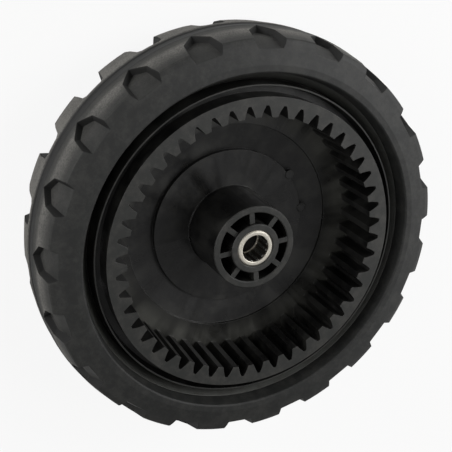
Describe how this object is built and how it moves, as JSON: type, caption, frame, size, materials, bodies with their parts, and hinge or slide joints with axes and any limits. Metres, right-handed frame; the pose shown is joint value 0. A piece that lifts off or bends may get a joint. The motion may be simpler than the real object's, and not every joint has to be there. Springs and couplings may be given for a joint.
{
  "type": "mower drive wheel",
  "caption": "Lugged rubber wheel on a moulded rim with an internal ring gear, channels, a spoked hub and needle bearings.",
  "frame": {"origin": "on the axle line, at the middle of the tyre's width", "axes": "+Z along the axle towards the gear side; +X through a tyre lug of the gear side row, at any one turn of the wheel"},
  "size_m": [0.1948, 0.1948, 0.0491],
  "materials": {
    "rim_nylon": "moulded glass-filled nylon, satin",
    "tyre_rubber": "moulded black rubber, dusty matt",
    "bearing_steel": "drawn and polished case-hardened steel",
    "cage_steel": "pressed steel, satin",
    "needle_steel": "ground bearing steel"
  },
  "bodies": {
    "wheel": {"rim": "rim_nylon", "tyre": "tyre_rubber", "gear_side_bearing_cup": "bearing_steel", "outer_side_bearing_cup": "bearing_steel"},
    "gear_side_needle_cage": {"gear_side_needle_cage": "cage_steel"},
    "gear_side_needle_01": {"gear_side_needle_01": "needle_steel"},
    "gear_side_needle_02": {"gear_side_needle_02": "needle_steel"},
    "gear_side_needle_03": {"gear_side_needle_03": "needle_steel"},
    "gear_side_needle_04": {"gear_side_needle_04": "needle_steel"},
    "gear_side_needle_05": {"gear_side_needle_05": "needle_steel"},
    "gear_side_needle_06": {"gear_side_needle_06": "needle_steel"},
    "gear_side_needle_07": {"gear_side_needle_07": "needle_steel"},
    "gear_side_needle_08": {"gear_side_needle_08": "needle_steel"},
    "gear_side_needle_09": {"gear_side_needle_09": "needle_steel"},
    "gear_side_needle_10": {"gear_side_needle_10": "needle_steel"},
    "gear_side_needle_11": {"gear_side_needle_11": "needle_steel"},
    "gear_side_needle_12": {"gear_side_needle_12": "needle_steel"},
    "gear_side_needle_13": {"gear_side_needle_13": "needle_steel"},
    "gear_side_needle_14": {"gear_side_needle_14": "needle_steel"},
    "outer_side_needle_cage": {"outer_side_needle_cage": "cage_steel"},
    "outer_side_needle_01": {"outer_side_needle_01": "needle_steel"},
    "outer_side_needle_02": {"outer_side_needle_02": "needle_steel"},
    "outer_side_needle_03": {"outer_side_needle_03": "needle_steel"},
    "outer_side_needle_04": {"outer_side_needle_04": "needle_steel"},
    "outer_side_needle_05": {"outer_side_needle_05": "needle_steel"},
    "outer_side_needle_06": {"outer_side_needle_06": "needle_steel"},
    "outer_side_needle_07": {"outer_side_needle_07": "needle_steel"},
    "outer_side_needle_08": {"outer_side_needle_08": "needle_steel"},
    "outer_side_needle_09": {"outer_side_needle_09": "needle_steel"},
    "outer_side_needle_10": {"outer_side_needle_10": "needle_steel"},
    "outer_side_needle_11": {"outer_side_needle_11": "needle_steel"},
    "outer_side_needle_12": {"outer_side_needle_12": "needle_steel"},
    "outer_side_needle_13": {"outer_side_needle_13": "needle_steel"},
    "outer_side_needle_14": {"outer_side_needle_14": "needle_steel"}
  },
  "joints": [
    {"name": "gear_side_cage_spin", "type": "hinge", "parent": "wheel", "child": "gear_side_needle_cage", "pos_m": [0, 0, 0.0181], "axis": [0, 0, 1], "continuous": true},
    {"name": "gear_side_needle_01_spin", "type": "hinge", "parent": "gear_side_needle_cage", "child": "gear_side_needle_01", "pos_m": [0.00714, 0, 0.0181], "axis": [0, 0, 1], "continuous": true},
    {"name": "gear_side_needle_02_spin", "type": "hinge", "parent": "gear_side_needle_cage", "child": "gear_side_needle_02", "pos_m": [0.00643, 0.0031, 0.0181], "axis": [0, 0, 1], "continuous": true},
    {"name": "gear_side_needle_03_spin", "type": "hinge", "parent": "gear_side_needle_cage", "child": "gear_side_needle_03", "pos_m": [0.00445, 0.00558, 0.0181], "axis": [0, 0, 1], "continuous": true},
    {"name": "gear_side_needle_04_spin", "type": "hinge", "parent": "gear_side_needle_cage", "child": "gear_side_needle_04", "pos_m": [0.00159, 0.00696, 0.0181], "axis": [0, 0, 1], "continuous": true},
    {"name": "gear_side_needle_05_spin", "type": "hinge", "parent": "gear_side_needle_cage", "child": "gear_side_needle_05", "pos_m": [-0.00159, 0.00696, 0.0181], "axis": [0, 0, 1], "continuous": true},
    {"name": "gear_side_needle_06_spin", "type": "hinge", "parent": "gear_side_needle_cage", "child": "gear_side_needle_06", "pos_m": [-0.00445, 0.00558, 0.0181], "axis": [0, 0, 1], "continuous": true},
    {"name": "gear_side_needle_07_spin", "type": "hinge", "parent": "gear_side_needle_cage", "child": "gear_side_needle_07", "pos_m": [-0.00643, 0.0031, 0.0181], "axis": [0, 0, 1], "continuous": true},
    {"name": "gear_side_needle_08_spin", "type": "hinge", "parent": "gear_side_needle_cage", "child": "gear_side_needle_08", "pos_m": [-0.00714, 0, 0.0181], "axis": [0, 0, 1], "continuous": true},
    {"name": "gear_side_needle_09_spin", "type": "hinge", "parent": "gear_side_needle_cage", "child": "gear_side_needle_09", "pos_m": [-0.00643, -0.0031, 0.0181], "axis": [0, 0, 1], "continuous": true},
    {"name": "gear_side_needle_10_spin", "type": "hinge", "parent": "gear_side_needle_cage", "child": "gear_side_needle_10", "pos_m": [-0.00445, -0.00558, 0.0181], "axis": [0, 0, 1], "continuous": true},
    {"name": "gear_side_needle_11_spin", "type": "hinge", "parent": "gear_side_needle_cage", "child": "gear_side_needle_11", "pos_m": [-0.00159, -0.00696, 0.0181], "axis": [0, 0, 1], "continuous": true},
    {"name": "gear_side_needle_12_spin", "type": "hinge", "parent": "gear_side_needle_cage", "child": "gear_side_needle_12", "pos_m": [0.00159, -0.00696, 0.0181], "axis": [0, 0, 1], "continuous": true},
    {"name": "gear_side_needle_13_spin", "type": "hinge", "parent": "gear_side_needle_cage", "child": "gear_side_needle_13", "pos_m": [0.00445, -0.00558, 0.0181], "axis": [0, 0, 1], "continuous": true},
    {"name": "gear_side_needle_14_spin", "type": "hinge", "parent": "gear_side_needle_cage", "child": "gear_side_needle_14", "pos_m": [0.00643, -0.0031, 0.0181], "axis": [0, 0, 1], "continuous": true},
    {"name": "outer_side_cage_spin", "type": "hinge", "parent": "wheel", "child": "outer_side_needle_cage", "pos_m": [0, 0, -0.0175], "axis": [0, 0, 1], "continuous": true},
    {"name": "outer_side_needle_01_spin", "type": "hinge", "parent": "outer_side_needle_cage", "child": "outer_side_needle_01", "pos_m": [0.00714, 0, -0.0175], "axis": [0, 0, 1], "continuous": true},
    {"name": "outer_side_needle_02_spin", "type": "hinge", "parent": "outer_side_needle_cage", "child": "outer_side_needle_02", "pos_m": [0.00643, 0.0031, -0.0175], "axis": [0, 0, 1], "continuous": true},
    {"name": "outer_side_needle_03_spin", "type": "hinge", "parent": "outer_side_needle_cage", "child": "outer_side_needle_03", "pos_m": [0.00445, 0.00558, -0.0175], "axis": [0, 0, 1], "continuous": true},
    {"name": "outer_side_needle_04_spin", "type": "hinge", "parent": "outer_side_needle_cage", "child": "outer_side_needle_04", "pos_m": [0.00159, 0.00696, -0.0175], "axis": [0, 0, 1], "continuous": true},
    {"name": "outer_side_needle_05_spin", "type": "hinge", "parent": "outer_side_needle_cage", "child": "outer_side_needle_05", "pos_m": [-0.00159, 0.00696, -0.0175], "axis": [0, 0, 1], "continuous": true},
    {"name": "outer_side_needle_06_spin", "type": "hinge", "parent": "outer_side_needle_cage", "child": "outer_side_needle_06", "pos_m": [-0.00445, 0.00558, -0.0175], "axis": [0, 0, 1], "continuous": true},
    {"name": "outer_side_needle_07_spin", "type": "hinge", "parent": "outer_side_needle_cage", "child": "outer_side_needle_07", "pos_m": [-0.00643, 0.0031, -0.0175], "axis": [0, 0, 1], "continuous": true},
    {"name": "outer_side_needle_08_spin", "type": "hinge", "parent": "outer_side_needle_cage", "child": "outer_side_needle_08", "pos_m": [-0.00714, 0, -0.0175], "axis": [0, 0, 1], "continuous": true},
    {"name": "outer_side_needle_09_spin", "type": "hinge", "parent": "outer_side_needle_cage", "child": "outer_side_needle_09", "pos_m": [-0.00643, -0.0031, -0.0175], "axis": [0, 0, 1], "continuous": true},
    {"name": "outer_side_needle_10_spin", "type": "hinge", "parent": "outer_side_needle_cage", "child": "outer_side_needle_10", "pos_m": [-0.00445, -0.00558, -0.0175], "axis": [0, 0, 1], "continuous": true},
    {"name": "outer_side_needle_11_spin", "type": "hinge", "parent": "outer_side_needle_cage", "child": "outer_side_needle_11", "pos_m": [-0.00159, -0.00696, -0.0175], "axis": [0, 0, 1], "continuous": true},
    {"name": "outer_side_needle_12_spin", "type": "hinge", "parent": "outer_side_needle_cage", "child": "outer_side_needle_12", "pos_m": [0.00159, -0.00696, -0.0175], "axis": [0, 0, 1], "continuous": true},
    {"name": "outer_side_needle_13_spin", "type": "hinge", "parent": "outer_side_needle_cage", "child": "outer_side_needle_13", "pos_m": [0.00445, -0.00558, -0.0175], "axis": [0, 0, 1], "continuous": true},
    {"name": "outer_side_needle_14_spin", "type": "hinge", "parent": "outer_side_needle_cage", "child": "outer_side_needle_14", "pos_m": [0.00643, -0.0031, -0.0175], "axis": [0, 0, 1], "continuous": true}
  ],
  "couplings": [
    {"joint": "gear_side_needle_01_spin", "follows": "gear_side_cage_spin", "ratio": -10.52},
    {"joint": "gear_side_needle_02_spin", "follows": "gear_side_cage_spin", "ratio": -10.52},
    {"joint": "gear_side_needle_03_spin", "follows": "gear_side_cage_spin", "ratio": -10.52},
    {"joint": "gear_side_needle_04_spin", "follows": "gear_side_cage_spin", "ratio": -10.52},
    {"joint": "gear_side_needle_05_spin", "follows": "gear_side_cage_spin", "ratio": -10.52},
    {"joint": "gear_side_needle_06_spin", "follows": "gear_side_cage_spin", "ratio": -10.52},
    {"joint": "gear_side_needle_07_spin", "follows": "gear_side_cage_spin", "ratio": -10.52},
    {"joint": "gear_side_needle_08_spin", "follows": "gear_side_cage_spin", "ratio": -10.52},
    {"joint": "gear_side_needle_09_spin", "follows": "gear_side_cage_spin", "ratio": -10.52},
    {"joint": "gear_side_needle_10_spin", "follows": "gear_side_cage_spin", "ratio": -10.52},
    {"joint": "gear_side_needle_11_spin", "follows": "gear_side_cage_spin", "ratio": -10.52},
    {"joint": "gear_side_needle_12_spin", "follows": "gear_side_cage_spin", "ratio": -10.52},
    {"joint": "gear_side_needle_13_spin", "follows": "gear_side_cage_spin", "ratio": -10.52},
    {"joint": "gear_side_needle_14_spin", "follows": "gear_side_cage_spin", "ratio": -10.52},
    {"joint": "outer_side_needle_01_spin", "follows": "outer_side_cage_spin", "ratio": -10.52},
    {"joint": "outer_side_needle_02_spin", "follows": "outer_side_cage_spin", "ratio": -10.52},
    {"joint": "outer_side_needle_03_spin", "follows": "outer_side_cage_spin", "ratio": -10.52},
    {"joint": "outer_side_needle_04_spin", "follows": "outer_side_cage_spin", "ratio": -10.52},
    {"joint": "outer_side_needle_05_spin", "follows": "outer_side_cage_spin", "ratio": -10.52},
    {"joint": "outer_side_needle_06_spin", "follows": "outer_side_cage_spin", "ratio": -10.52},
    {"joint": "outer_side_needle_07_spin", "follows": "outer_side_cage_spin", "ratio": -10.52},
    {"joint": "outer_side_needle_08_spin", "follows": "outer_side_cage_spin", "ratio": -10.52},
    {"joint": "outer_side_needle_09_spin", "follows": "outer_side_cage_spin", "ratio": -10.52},
    {"joint": "outer_side_needle_10_spin", "follows": "outer_side_cage_spin", "ratio": -10.52},
    {"joint": "outer_side_needle_11_spin", "follows": "outer_side_cage_spin", "ratio": -10.52},
    {"joint": "outer_side_needle_12_spin", "follows": "outer_side_cage_spin", "ratio": -10.52},
    {"joint": "outer_side_needle_13_spin", "follows": "outer_side_cage_spin", "ratio": -10.52},
    {"joint": "outer_side_needle_14_spin", "follows": "outer_side_cage_spin", "ratio": -10.52}
  ]
}
